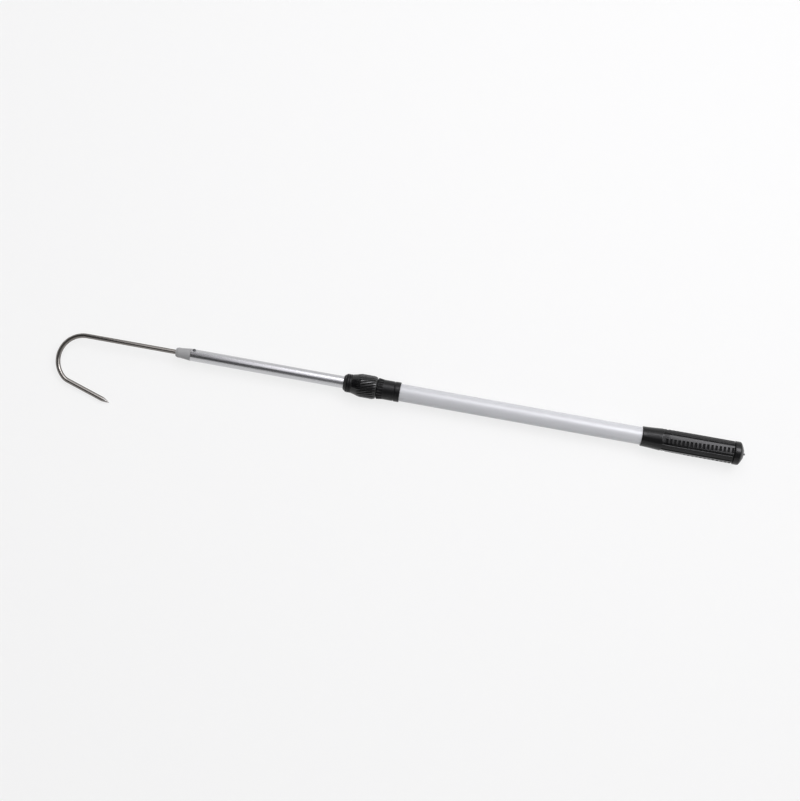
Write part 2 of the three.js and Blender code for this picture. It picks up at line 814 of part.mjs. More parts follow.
// Head: everything that slides and turns with the upper tube
const head = new THREE.Group();
head.add(
  piece('hook', hookBar(), stainless),
  piece('ferrule_plug', ferrulePlug(), greyPlastic),
  piece('hook_washer', hookWasher(), zincPlated),
  piece('hook_lock_nut', hookLockNut(), zincPlated),
  piece('ferrule_rivet', ferruleRivet(), zincPlated),
  piece('upper_tube', upperTubeBody(), aluminium),
  piece('tail_plug', tailPlugBody(), blackPlastic),
  piece('tail_pin', crossPin(upperTube.radius - tailPlug.pinSink, tailPlug.pinRadius), zincPlated),
);
head.rotation.x = restTilt;

const lock = new THREE.Group();
lock.add(
  piece('guide_ring', guideRingBody(), whiteNylon),
  piece('collet', colletBody(), blackPlastic),
  piece('lock_nut', lockNut(), blackPlastic),
  piece('lock_body', lockBody(), blackPlastic),
  piece('front_bush', frontBush(), whiteNylon),
);

const handle = new THREE.Group();
handle.add(
  piece('lower_tube', tube(lowerTubeFront, lowerTubeRear, lowerTube), aluminium),
  piece('grip', gripBody(), blackPlastic),
  piece('butt_cap', buttCap(), blackPlastic),
);

// The origin is under the middle of the whole gaff, on the surface that it lies on
const gaff = new THREE.Group();
gaff.add(head, lock, handle);
const box = new THREE.Box3().setFromObject(gaff, true);
gaff.position.set(-(box.min.x + box.max.x) / 2, -(box.min.y + box.max.y) / 2, -box.min.z);

const model = new THREE.Group();
model.add(gaff);

export default model;
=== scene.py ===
# Telescoping fishing gaff on a pale studio floor.
# Sizes are in millimetres along the gaff's own axis, counted from the front face of the lock.
# place() turns them into the row's frame, in metres. Angles in the size tables are in degrees.
import math

import bpy
import numpy as np
from mathutils import Euler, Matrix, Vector


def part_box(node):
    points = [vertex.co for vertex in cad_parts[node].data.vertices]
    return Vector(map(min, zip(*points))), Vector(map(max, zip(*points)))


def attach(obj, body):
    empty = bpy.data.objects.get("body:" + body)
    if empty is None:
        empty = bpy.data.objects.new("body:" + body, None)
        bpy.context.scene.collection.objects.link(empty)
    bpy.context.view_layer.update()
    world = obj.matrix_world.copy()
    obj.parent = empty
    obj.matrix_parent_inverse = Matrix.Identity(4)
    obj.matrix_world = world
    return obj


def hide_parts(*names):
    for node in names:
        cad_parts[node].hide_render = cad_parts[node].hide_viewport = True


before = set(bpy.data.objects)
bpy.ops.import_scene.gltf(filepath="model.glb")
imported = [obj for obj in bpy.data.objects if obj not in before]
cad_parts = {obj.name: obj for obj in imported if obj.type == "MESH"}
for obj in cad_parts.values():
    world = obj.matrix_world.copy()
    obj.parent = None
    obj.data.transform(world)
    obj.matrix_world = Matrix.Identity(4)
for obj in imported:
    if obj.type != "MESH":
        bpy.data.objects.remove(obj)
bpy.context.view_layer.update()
MM = 0.001
FULL_TURN = 2 * math.pi
ON_AXIS = 1e-6

# ---------------------------------------------------------------- sizes
GAP = 0.3  # between neighbouring pieces
UPPER_TUBE = dict(radius=8.0, wall=0.9, edge=0.25)
LOWER_TUBE = dict(radius=11.5, wall=1.0, edge=0.25)
SLIDING_BORE = UPPER_TUBE["radius"] + GAP
SOCKET = LOWER_TUBE["radius"] + GAP

HOOK = dict(bar=3.0, bend=33.6, bend_angle=137.2, closing=19.5, closing_angle=25.0, leg=61.9,
            point=9.5, tip=0.3, fullness=1.4, shank_shown=120.0, tip_round=0.8)
HOOK_REAR_EDGE = ((0.0, 0.7), (0.35, 0.3), (0.35, 0.0))  # step forward, distance under the bar's surface
HOOK_STEPS = dict(shank=24, bend=72, closing=16, leg=8, point=28)
HOOK_SIDES = 40

PLUG = dict(edge=1.0, ease=0.5)
PLUG_NOSE = ((0.0, 5.5), (3.0, 6.65), (6.5, 6.6), (12.5, 7.25))  # distance from its front, radius

RIVET = dict(turn=35.0, setback=3.8, foot=4.1, shank=1.6, seat=0.1, head=2.3, rim=0.12, dome=1.18,
             dome_steps=8, hole=0.75, hole_floor=0.7, floor_height=1.1, sides=48)

COLLET = dict(ring_length=10.45, ring=12.25, groove_floor=11.85, groove_width=0.9, groove_slope=0.25,
              neck=9.9, bead=10.5, bead_length=1.5, sleeve=10.3, sleeve_rear=9.15, ease=0.18)
COLLET_NOSE = ((0.0, 9.1), (0.3, 9.5), (1.2, 10.2), (2.4, 11.05), (3.5, 11.85), (4.1, 12.2))
COLLET_GROOVES = (4.3, 7.4)

NUT = dict(ribs=24, rib_height=1.1, rib_angle=20.0, swell=12.0, wrist=0.2, shoulder=4.6,
           front_radius=12.4, radius=15.35, rear_radius=14.2, rear_edge=0.7, rear_cut=0.6,
           front_edge=0.3, front_cut=0.25, web=2.5, mouth=10.2, chamber_end=7.2, chamber=10.9,
           thread_bore=12.05, stations=84, rib_sides=18)
SWELL_STRAIGHT = 0.8  # the rest of the nut's front cone is rounded
# Ribs: where they start and end, as shares of the nut's length, and how their crest falls to the groove
RIBS = dict(start=0.2, start_fade=0.14, end=0.92, end_fade=0.07, crest=0.62, flank=0.34, turned=1 / 6)
RIB_SHADE = dict(start=0.22, end=0.95, away=0.78, radius=12.3)

COLLAR = dict(root=11.6, thread_height=1.0, pitch=4.0, front_radius=13.3, radius=12.95,
              bead_radius=13.15, cone=9.8, bead=7.2, groove=1.4, groove_depth=0.5,
              teeth=22, tooth_height=0.8, tooth_width=2.2, tooth_length=9.0, web=2.0,
              front_gap=0.6, front_edge=0.7, tooth_fade=0.03, groove_fade=0.4, bead_step=0.9,
              rear_edge=0.6, rear_cut=0.5, seat_length=10.5, seat_mouth=10.6, sides=240)
THREAD = dict(crest=0.4, flank=0.45, lead=2.0, runout=5.0, nose_edge=0.5, step=0.3)
TOOTH_SHADE = dict(length=0.85, narrowing=0.35)

GRIP = dict(front_radius=13.05, radius=15.05, taper=38.0, slots=17, first_slot=32.1, last_slot=2.3,
            slot_length=2.7, slot_depth=1.2, groove_depth=0.7, groove_margin=4.6,
            flat_share=0.24, flatness=0.85, step_before=6.7, step_length=2.4,
            front_edge=0.6, front_cut=0.6, rear_edge=0.5, rear_cut=0.45)
PANELS = 4
SLOT_TURNS = (-12.5, 0.8)  # where the slots' middle lies at the first and the last slot
PANEL_TURNS = (0.0, 2.5)
# Shares are parts of a panel's width, counted from the middle of the panel or of its slots
GROOVE = dict(low=0.3, high=0.36, side_fade=0.025, end_fade=1.2, rear_margin=0.4)
SLOT = dict(share=0.134, share_fade=0.014, inset=0.12, fade=0.3)
GROOVE_SHADE = dict(low=0.297, high=0.363, end=0.8)
SLOT_SHADE = dict(share=0.139, over=0.02)
SHADE_RADIUS = 12.0  # what lies further in is the bore

CAP = dict(plug_bore=8.6, plug_length=14.0, plug=10.2, neck=13.6, neck_length=0.9, flange=15.3,
           flange_length=8.8, nib=1.3, nib_length=2.4, shade=13.9, shade_over=0.1, ease=0.4)
# Rear edge and crown of the cap: distance behind the flange, radius
CAP_CROWN = ((-2.1, 15.3), (-1.5, 15.0), (-0.7, 14.2), (0.2, 12.95), (1.1, 11.4), (2.1, 9.5),
             (3.0, 7.4), (3.5, 6.5))

# ---------------------------------------------------------------- placing
tube_low, tube_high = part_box("lower_tube")
AXIS_Y = (tube_low.y + tube_high.y) / 2
AXIS_Z = (tube_low.z + tube_high.z) / 2
AXIS_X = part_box("collet")[0].x


def hook_reach():
    """How far beside the tubes' axis the hook's leg lies where its point begins."""
    bend = math.radians(HOOK["bend_angle"])
    heading = math.radians(HOOK["bend_angle"] + HOOK["closing_angle"])
    return (HOOK["bend"] * (1 - math.cos(bend))
            + HOOK["closing"] * (math.cos(bend) - math.cos(heading))
            + (HOOK["leg"] - HOOK["point"]) * math.sin(heading))


# Roll of the head about the tubes, at which the hook's leg rests on the floor that carries the nut
TILT = math.asin((NUT["radius"] - HOOK["bar"]) / hook_reach())


def station(node, end=0):
    """Place of a node's low or high end along the axis, in millimetres from the lock's front."""
    return (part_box(node)[end].x - AXIS_X) / MM


def place(points, tilt=0.0):
    """Gaff millimetres to the row's frame in metres, rolled about the axis."""
    p = np.asarray(points, float)
    c, s = math.cos(tilt), math.sin(tilt)
    y = p[:, 1] * c - p[:, 2] * s
    z = p[:, 1] * s + p[:, 2] * c
    return np.stack([AXIS_X + p[:, 0] * MM, AXIS_Y + y * MM, AXIS_Z + z * MM], axis=1)


def smooth(t):
    """Smooth step, 0 up to t = 0 and 1 from t = 1."""
    t = np.clip(t, 0.0, 1.0)
    return t * t * (3 - 2 * t)


def band(value, low, high, edge):
    """One inside low to high, falling to nothing over edge on both sides."""
    return smooth((value - low + edge) / edge) * (1 - smooth((value - high) / edge))


# ---------------------------------------------------------------- mesh building
def mesh_piece(name, points, faces, material, tilt=0.0, sharp=40.0):
    """Smooth-shaded mesh object from points in gaff millimetres."""
    mesh = bpy.data.meshes.new(name)
    mesh.from_pydata(place(points, tilt).tolist(), [], faces)
    mesh.validate()
    mesh.shade_smooth()
    mesh.set_sharp_from_angle(angle=math.radians(sharp))
    mesh.materials.append(material)
    piece = bpy.data.objects.new(name, mesh)
    bpy.context.scene.collection.objects.link(piece)
    return piece


def paint(piece, material, inside):
    """Gives the faces whose middle passes inside(x, radius, angle) a second material."""
    piece.data.materials.append(material)
    slot = len(piece.data.materials) - 1
    for polygon in piece.data.polygons:
        c = polygon.center
        x, y, z = (c.x - AXIS_X) / MM, (c.y - AXIS_Y) / MM, (c.z - AXIS_Z) / MM
        if inside(x, math.hypot(y, z), math.atan2(z, y)):
            polygon.material_index = slot


def grid_faces(rings, count, closed=False):
    """Quads between neighbouring rings of count points; closed joins the last ring to the first."""
    faces = []
    for ring in range(rings if closed else rings - 1):
        a = ring * count
        b = ((ring + 1) % rings) * count
        for i in range(count):
            j = (i + 1) % count
            faces.append((a + i, b + i, b + j, a + j))
    return faces


NEARLY_STRAIGHT = 165.0
MOST_CUT = 0.45  # share of the shorter side that a rounded corner may take
CORNER_STEPS = 3


def eased(outline, size):
    """Rounds the corners of a closed outline of (x, radius) points; points on the axis stay sharp."""
    out = []
    n = len(outline)
    for i in range(n):
        before, here, after = (np.array(outline[k % n], float) for k in (i - 1, i, i + 1))
        a, b = before - here, after - here
        la, lb = np.linalg.norm(a), np.linalg.norm(b)
        if here[1] < ON_AXIS or la < ON_AXIS or lb < ON_AXIS:
            out.append(tuple(here))
            continue
        a, b = a / la, b / lb
        if math.degrees(math.acos(float(np.clip(a @ b, -1, 1)))) > NEARLY_STRAIGHT:
            out.append(tuple(here))
            continue
        cut = min(size, la * MOST_CUT, lb * MOST_CUT)
        start, end = here + a * cut, here + b * cut
        for k in range(CORNER_STEPS + 1):
            t = k / CORNER_STEPS
            out.append(tuple((1 - t) ** 2 * start + 2 * t * (1 - t) * here + t * t * end))
    return out


def turned(outline, sides, point_at, closed):
    """Points and faces of an outline turned about its axis, placed by point_at(along, radius, angle)."""
    points, rings, faces = [], [], []
    for along, radius in outline:
        if radius < ON_AXIS:
            rings.append([len(points)])
            points.append(point_at(along, 0.0, 0.0))
        else:
            rings.append(list(range(len(points), len(points) + sides)))
            points += [point_at(along, radius, FULL_TURN * i / sides) for i in range(sides)]
    for a, b in zip(rings, rings[1:] + rings[:1] if closed else rings[1:]):
        if len(a) == 1 and len(b) == 1:
            continue
        for i in range(sides):
            j = (i + 1) % sides
            corners = (a[i % len(a)], b[i % len(b)], b[j % len(b)], a[j % len(a)])
            faces.append(tuple(dict.fromkeys(corners)))
    return points, faces


LATHE_SIDES = 128


def lathe(name, outline, material, tilt=0.0, *, ease):
    """Body turned about the gaff's axis from a closed outline of (x, radius) points."""
    points, faces = turned(eased(outline, ease), LATHE_SIDES,
                           lambda x, radius, angle: (x, radius * math.cos(angle), radius * math.sin(angle)),
                           closed=True)
    return mesh_piece(name, points, faces, material, tilt)


def sleeve(name, xs, angles, radius_at, bore, material, sharp=50.0, shift=None):
    """Sleeve whose outside is a grid of stations and angles, closed over a turned bore."""
    def ring(x, radius, at):
        return np.stack([np.full(len(angles), x), radius * np.cos(at), radius * np.sin(at)], axis=1)

    def shifted(x):
        return angles + (shift(x) if shift else 0.0)

    rings = [ring(x, radius_at(x, shifted(x)), shifted(x)) for x in xs]
    rings += [ring(x, radius, shifted(x)) for x, radius in bore]
    faces = grid_faces(len(rings), len(angles), closed=True)
    return mesh_piece(name, np.concatenate(rings), faces, material, sharp=sharp)


# ---------------------------------------------------------------- materials
NOISE_LOW, NOISE_HIGH = 0.3, 0.7
NOISE_DETAIL = 4.0


def new_material(name):
    material = bpy.data.materials.new(name)
    material.use_nodes = True
    tree = material.node_tree
    return material, tree, tree.nodes["Principled BSDF"]


def finish_material(name, color, roughness, metallic=0.0, specular=0.5, spread=0.06, rough_spread=0.05,
                    grain=(900, 900, 900), bump=0.08, bump_size=0.02, edge_tint=None):
    """Principled finish whose colour, roughness and surface vary with a fine noise.

    grain is the noise's fineness along x, y and z, per metre; bump_size is its depth in millimetres."""
    material, tree, shader = new_material(name)
    nodes, links = tree.nodes, tree.links
    shader.inputs["Metallic"].default_value = metallic
    shader.inputs["Specular IOR Level"].default_value = specular
    if edge_tint is not None:
        shader.inputs["Specular Tint"].default_value = [edge_tint, edge_tint, edge_tint, 1]

    coordinates = nodes.new("ShaderNodeTexCoord")
    mapping = nodes.new("ShaderNodeMapping")
    mapping.inputs["Scale"].default_value = grain
    noise = nodes.new("ShaderNodeTexNoise")
    noise.inputs["Scale"].default_value = 1.0
    noise.inputs["Detail"].default_value = NOISE_DETAIL
    links.new(coordinates.outputs["Object"], mapping.inputs["Vector"])
    links.new(mapping.outputs["Vector"], noise.inputs["Vector"])

    tint = nodes.new("ShaderNodeValToRGB")
    low, high = tint.color_ramp.elements
    low.position, high.position = NOISE_LOW, NOISE_HIGH
    low.color = [c * (1 - spread) for c in color] + [1]
    high.color = [min(1, c * (1 + spread)) for c in color] + [1]
    links.new(noise.outputs["Fac"], tint.inputs["Fac"])
    links.new(tint.outputs["Color"], shader.inputs["Base Color"])

    rough = nodes.new("ShaderNodeMapRange")
    rough.inputs["From Min"].default_value = NOISE_LOW
    rough.inputs["From Max"].default_value = NOISE_HIGH
    rough.inputs["To Min"].default_value = roughness - rough_spread
    rough.inputs["To Max"].default_value = roughness + rough_spread
    links.new(noise.outputs["Fac"], rough.inputs["Value"])
    links.new(rough.outputs["Result"], shader.inputs["Roughness"])

    relief = nodes.new("ShaderNodeBump")
    relief.inputs["Strength"].default_value = bump
    relief.inputs["Distance"].default_value = bump_size * MM
    links.new(noise.outputs["Fac"], relief.inputs["Height"])
    links.new(relief.outputs["Normal"], shader.inputs["Normal"])
    return material


bright_aluminium = finish_material(
    "bright_drawn_aluminium", (0.55, 0.55, 0.565), 0.27, metallic=1.0, spread=0.015, rough_spread=0.02,
    grain=(14, 1500, 1500), bump=0.04, bump_size=0.004)
satin_aluminium = finish_material(
    "satin_anodised_aluminium", (0.485, 0.49, 0.505), 0.35, metallic=0.14, specular=0.35, spread=0.01,
    rough_spread=0.02, grain=(40, 1500, 1500), bump=0.04, bump_size=0.004)
stainless = finish_material(
    "polished_stainless", (0.26, 0.245, 0.23), 0.14, metallic=1.0, spread=0.04, rough_spread=0.04,
    grain=(700, 700, 700), bump=0.06, bump_size=0.006, edge_tint=0.0)
ground_steel = finish_material(
    "ground_stainless", (0.30, 0.29, 0.28), 0.22, metallic=1.0, spread=0.05, rough_spread=0.06,
    grain=(5200, 500, 900), bump=0.3, bump_size=0.01)
grey_plastic = finish_material(
    "moulded_grey_plastic", (0.28, 0.28, 0.28), 0.5, spread=0.05, rough_spread=0.06,
    grain=(1500, 1500, 1500), bump=0.25, bump_size=0.03)
# Kept very dark, so the rivet's head shows as a dark spot on the bright tube
rivet_metal = finish_material(
    "rivet_aluminium_finish", (0.085, 0.085, 0.09), 0.38, metallic=1.0, spread=0.06, rough_spread=0.06,
    grain=(2500, 2500, 2500), bump=0.2, bump_size=0.01)
# Mandrel end at the floor of the rivet's shallow hole, made nearly black: the real mandrel plus painted
# shade in the hole
mandrel_and_hole_shade = finish_material(
    "rivet_mandrel_and_hole_shade", (0.03, 0.03, 0.03), 0.5, metallic=1.0, spread=0.08, rough_spread=0.06,
    grain=(3500, 3500, 3500), bump=0.3, bump_size=0.01)
nut_black = finish_material(
    "nut_black_plastic", (0.0022, 0.0022, 0.0025), 0.2, spread=0.25, rough_spread=0.04,
    grain=(1400, 1400, 1400), bump=0.1, bump_size=0.01)
lock_black = finish_material(
    "lock_black_plastic", (0.0025, 0.0025, 0.003), 0.34, specular=0.27, spread=0.25,
    grain=(1400, 1400, 1400), bump=0.2)
grip_black = finish_material(
    "grip_black_plastic", (0.0022, 0.0022, 0.0025), 0.21, specular=0.34, spread=0.25,
    grain=(1700, 1700, 1700), bump=0.15)
# Nearly black, dull plastic laid on slot floors, grooves, rib and tooth valleys and the cap's neck: painted
# shade in the recesses
painted_shade_black = finish_material(
    "painted_recess_shade", (0.002, 0.002, 0.0022), 0.6, specular=0.12, spread=0.2,
    grain=(1500, 1500, 1500), bump=0.2)
inner_black = finish_material("plain_black_plastic", (0.01, 0.01, 0.01), 0.5, spread=0.1)
white_nylon = finish_material("natural_nylon", (0.72, 0.70, 0.65), 0.45, spread=0.03)
zinc_steel = finish_material(
    "zinc_plated_steel", (0.52, 0.52, 0.54), 0.3, metallic=1.0, spread=0.08, grain=(500, 500, 500))

# ---------------------------------------------------------------- hook
shank_rear = station("hook", 1)
bend_start = station("ferrule_plug", 0) - HOOK["shank_shown"]


def hook_path():
    """Stations of the bar: place in the hook's plane, heading angle and bar radius."""
    rows = []
    x, w, angle = shank_rear, 0.0, 0.0

    def add(radius):
        rows.append((x, w, angle, radius))

    def run(length):
        nonlocal x, w
        x -= math.cos(angle) * length
        w += math.sin(angle) * length

    bar = HOOK["bar"]
    for step, under in HOOK_REAR_EDGE:
        run(step)
        add(bar - under)
    shank = x - bend_start
    for _ in range(HOOK_STEPS["shank"]):
        run(shank / HOOK_STEPS["shank"])
        add(bar)
    for part in ("bend", "closing"):
        step = math.radians(HOOK[part + "_angle"]) / HOOK_STEPS[part]
        for _ in range(HOOK_STEPS[part]):
            angle += step / 2
            run(2 * HOOK[part] * math.sin(step / 2))
            angle += step / 2
            add(bar)
    for _ in range(HOOK_STEPS["leg"]):
        run((HOOK["leg"] - HOOK["point"]) / HOOK_STEPS["leg"])
        add(bar)
    for i in range(1, HOOK_STEPS["point"] + 1):
        run(HOOK["point"] / HOOK_STEPS["point"])
        left = 1 - (i / HOOK_STEPS["point"]) ** HOOK["fullness"]
        add(HOOK["tip"] + (bar - HOOK["tip"]) * left)
    return rows


def hook_piece():
    """Bar along the hook's path, with a ground point."""
    sides = HOOK_SIDES
    rows = hook_path()
    points = []
    for x, w, angle, radius in rows:
        for i in range(sides):
            turn = FULL_TURN * i / sides
            side, up = radius * math.cos(turn), radius * math.sin(turn)
            points.append((x + math.sin(angle) * side, -w - math.cos(angle) * side, up))
    faces = grid_faces(len(rows), sides)
    rear, tip = len(points), len(points) + 1
    points.append((rows[0][0], -rows[0][1], 0.0))
    x, w, angle, radius = rows[-1]
    past = radius * HOOK["tip_round"]
    points.append((x - math.cos(angle) * past, -w - math.sin(angle) * past, 0.0))
    last_ring = (len(rows) - 1) * sides
    for i in range(sides):
        j = (i + 1) % sides
        faces.append((rear, i, j))
        faces.append((tip, last_ring + j, last_ring + i))
    piece = mesh_piece("hook_bar", points, [tuple(reversed(f)) for f in faces], stainless, TILT)
    piece.data.materials.append(ground_steel)
    point_start = (len(rows) - HOOK_STEPS["point"]) * sides
    for polygon in piece.data.polygons:
        if min(polygon.vertices) >= point_start:
            polygon.material_index = 1
    return piece


hook_bar = hook_piece()
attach(hook_bar, "head")
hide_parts("hook")

# ---------------------------------------------------------------- plug, tubes and rivet
plug_front, plug_rear = station("ferrule_plug", 0), station("ferrule_plug", 1)
tube_front, tube_rear = station("upper_tube", 0), station("upper_tube", 1)
shoulder = tube_front - GAP
bar_bore = HOOK["bar"] + GAP
plug_inside = UPPER_TUBE["radius"] - UPPER_TUBE["wall"] - GAP
plug_outline = [(plug_front, bar_bore)]
plug_outline += [(plug_front + along, radius) for along, radius in PLUG_NOSE]
plug_outline += [
    (shoulder - PLUG["edge"], UPPER_TUBE["radius"]),
    (shoulder, UPPER_TUBE["radius"]),
    (shoulder, plug_inside),
    (plug_rear - PLUG["edge"], plug_inside),
    (plug_rear, plug_inside - PLUG["edge"]),
    (plug_rear, bar_bore),
]
plug = lathe("ferrule_boot", plug_outline, grey_plastic, TILT, ease=PLUG["ease"])
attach(plug, "head")
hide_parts("ferrule_plug")


def tube_piece(name, front, rear, size, material, tilt=0.0):
    """Plain drawn tube with eased ends."""
    bore = size["radius"] - size["wall"]
    outline = [(front, bore), (front, size["radius"]), (rear, size["radius"]), (rear, bore)]
    return lathe(name, outline, material, tilt, ease=size["edge"])


upper = tube_piece("upper_tube_drawn", tube_front, tube_rear, UPPER_TUBE, bright_aluminium, TILT)
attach(upper, "head")
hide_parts("upper_tube")

lower = tube_piece("lower_tube_anodised", station("lower_tube", 0), station("lower_tube", 1), LOWER_TUBE,
                   satin_aluminium)
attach(lower, "handle")
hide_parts("lower_tube")


def rivet_piece():
    """Domed blind rivet on the tube, turned up from the spine side."""
    under = UPPER_TUBE["radius"] + RIVET["seat"]
    rim = under + RIVET["rim"]
    outline = [(RIVET["foot"], 0.0), (RIVET["foot"], RIVET["shank"]), (under, RIVET["shank"]),
               (under, RIVET["head"]), (rim, RIVET["head"])]
    for k in range(1, RIVET["dome_steps"]):
        turn = math.pi / 2 * k / RIVET["dome_steps"]
        outline.append((rim + RIVET["dome"] * math.sin(turn), RIVET["head"] * math.cos(turn)))
    outline += [(rim + RIVET["dome"], RIVET["hole"]), (under + RIVET["floor_height"], RIVET["hole_floor"]),
                (under + RIVET["floor_height"], 0.0)]
    at = tube_front + RIVET["setback"]
    points, faces = turned(outline, RIVET["sides"],
                           lambda height, radius, angle: (at - radius * math.cos(angle), height,
                                                          radius * math.sin(angle)),
                           closed=False)
    piece = mesh_piece("ferrule_rivet_head", points, faces, rivet_metal, TILT + math.radians(RIVET["turn"]))
    # The hole's floor gets the nearly black mandrel finish: painted shade in the hole
    piece.data.materials.append(mandrel_and_hole_shade)
    for polygon in piece.data.polygons:
        if len(polygon.vertices) == 3 and min(polygon.vertices) > RIVET["sides"]:
            polygon.material_index = 1
    return piece


rivet = rivet_piece()
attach(rivet, "head")
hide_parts("ferrule_rivet")

# ---------------------------------------------------------------- collet
collet_rear = station("collet", 1)
nut_front, nut_rear = station("lock_nut", 0), station("lock_nut", 1)
neck_rear = nut_front + NUT["web"] + GAP
spigot_front = station("lock_body", 0)
collet_outline = [(0.0, SLIDING_BORE)] + list(COLLET_NOSE)
for x in COLLET_GROOVES:
    collet_outline += [
        (x, COLLET["ring"]),
        (x + COLLET["groove_slope"], COLLET["groove_floor"]),
        (x + COLLET["groove_width"] - COLLET["groove_slope"], COLLET["groove_floor"]),
        (x + COLLET["groove_width"], COLLET["ring"]),
    ]
collet_outline += [
    (COLLET["ring_length"], COLLET["ring"]),
    (COLLET["ring_length"], COLLET["neck"]),
    (neck_rear, COLLET["neck"]),
    (neck_rear, COLLET["bead"]),
    (neck_rear + COLLET["bead_length"], COLLET["bead"]),
    (neck_rear + COLLET["bead_length"], COLLET["sleeve"]),
    (spigot_front, COLLET["sleeve"]),
    (collet_rear, COLLET["sleeve_rear"]),
    (collet_rear, SLIDING_BORE),
]


# The faces inside the collet's grooves get painted shade
def in_collet_groove(x, radius, angle):
    in_row = any(start < x < start + COLLET["groove_width"] for start in COLLET_GROOVES)
    return in_row and radius < COLLET["ring"] - 0.05


collet = lathe("collet_ring", collet_outline, lock_black, ease=COLLET["ease"])
paint(collet, painted_shade_black, in_collet_groove)
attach(collet, "collet")
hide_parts("collet")


# ---------------------------------------------------------------- nut
def nut_radius(x):
    """Radius of the nut's crests: a cone that swells from the wrist, and a rear shoulder."""
    share = np.clip((x - nut_front - NUT["wrist"]) / NUT["swell"], 0, 1)
    swell = SWELL_STRAIGHT * share + (1 - SWELL_STRAIGHT) * smooth(share)
    shoulder_part = smooth((x - nut_rear + NUT["shoulder"]) / NUT["shoulder"])
    return (NUT["front_radius"] + (NUT["radius"] - NUT["front_radius"]) * swell
            - (NUT["radius"] - NUT["rear_radius"]) * shoulder_part)


def nut_share(x):
    return (x - nut_front) / (nut_rear - nut_front)


def rib_away(x, angles):
    """0 on the crest of a rib, 1 in the middle of the groove beside it."""
    twist = math.tan(math.radians(NUT["rib_angle"])) / NUT["radius"]
    phase = (NUT["ribs"] * (angles + twist * (x - nut_front)) / FULL_TURN - RIBS["turned"]) % 1.0
    return 2 * np.minimum(phase, 1 - phase)


def nut_surface(x, angles):
    share = nut_share(x)
    depth = (NUT["rib_height"] * smooth((share - RIBS["start"]) / RIBS["start_fade"])
             * (1 - smooth((share - RIBS["end"]) / RIBS["end_fade"])))
    fall = np.clip((rib_away(x, angles) - RIBS["crest"]) / RIBS["flank"], 0, 1)
    edge = (NUT["rear_cut"] * smooth((x - nut_rear + NUT["rear_edge"]) / NUT["rear_edge"])
            + NUT["front_cut"] * smooth((nut_front + NUT["front_edge"] - x) / NUT["front_edge"]))
    return nut_radius(x) - depth * fall - edge


# Groove bottoms between the ribs, which get painted shade
def in_rib_groove(x, radius, angle):
    return (RIB_SHADE["start"] < nut_share(x) < RIB_SHADE["end"] and radius > RIB_SHADE["radius"]
            and float(rib_away(x, angle)) > RIB_SHADE["away"])


nut_xs = np.concatenate([
    nut_front + np.array([0.0, 0.08, 0.18, 0.3]),
    np.linspace(nut_front + 1.0, nut_rear - 1.0, NUT["stations"]),
    nut_rear - np.array([0.7, 0.5, 0.3, 0.15, 0.0]),
])
nut_sides = NUT["ribs"] * NUT["rib_sides"]
nut_angles = np.arange(nut_sides) * FULL_TURN / nut_sides
nut_bore = [
    (nut_rear, NUT["thread_bore"]),
    (nut_front + NUT["chamber_end"], NUT["thread_bore"]),
    (nut_front + NUT["chamber_end"], NUT["chamber"]),
    (nut_front + NUT["web"], NUT["chamber"]),
    (nut_front + NUT["web"], NUT["mouth"]),
    (nut_front, NUT["mouth"]),
]
nut = sleeve("lock_nut_ribbed", nut_xs, nut_angles, nut_surface, nut_bore, nut_black)
paint(nut, painted_shade_black, in_rib_groove)
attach(nut, "lock_nut")
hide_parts("lock_nut")

# ---------------------------------------------------------------- lock body
collar_front = nut_rear + COLLAR["front_gap"]
collar_rear = station("lock_body", 1)
bead_front = collar_rear - COLLAR["bead"]
collar_groove = bead_front - COLLAR["groove"]


def spigot_surface(x, angles):
    """Threaded spigot that the nut turns on."""
    start = spigot_front + THREAD["lead"]
    phase = ((x - start) / COLLAR["pitch"] - angles / FULL_TURN) % 1.0
    away = np.abs(phase - 0.5) * COLLAR["pitch"]
    level = 1 - smooth((away - THREAD["crest"]) / THREAD["flank"])
    fade = float(smooth((x - start) / THREAD["lead"])
                 * (1 - smooth((x - collar_front + THREAD["runout"]) / THREAD["lead"])))
    nose = THREAD["nose_edge"]
    nose_cut = nose * float(smooth((spigot_front + nose - x) / nose))
    return COLLAR["root"] - nose_cut + COLLAR["thread_height"] * level * fade


def tooth_away(angles):
    """Distance round the collar from the crest of the nearest tooth."""
    phase = (COLLAR["teeth"] * angles / FULL_TURN) % 1.0
    return np.minimum(phase, 1 - phase) * FULL_TURN * COLLAR["radius"] / COLLAR["teeth"]


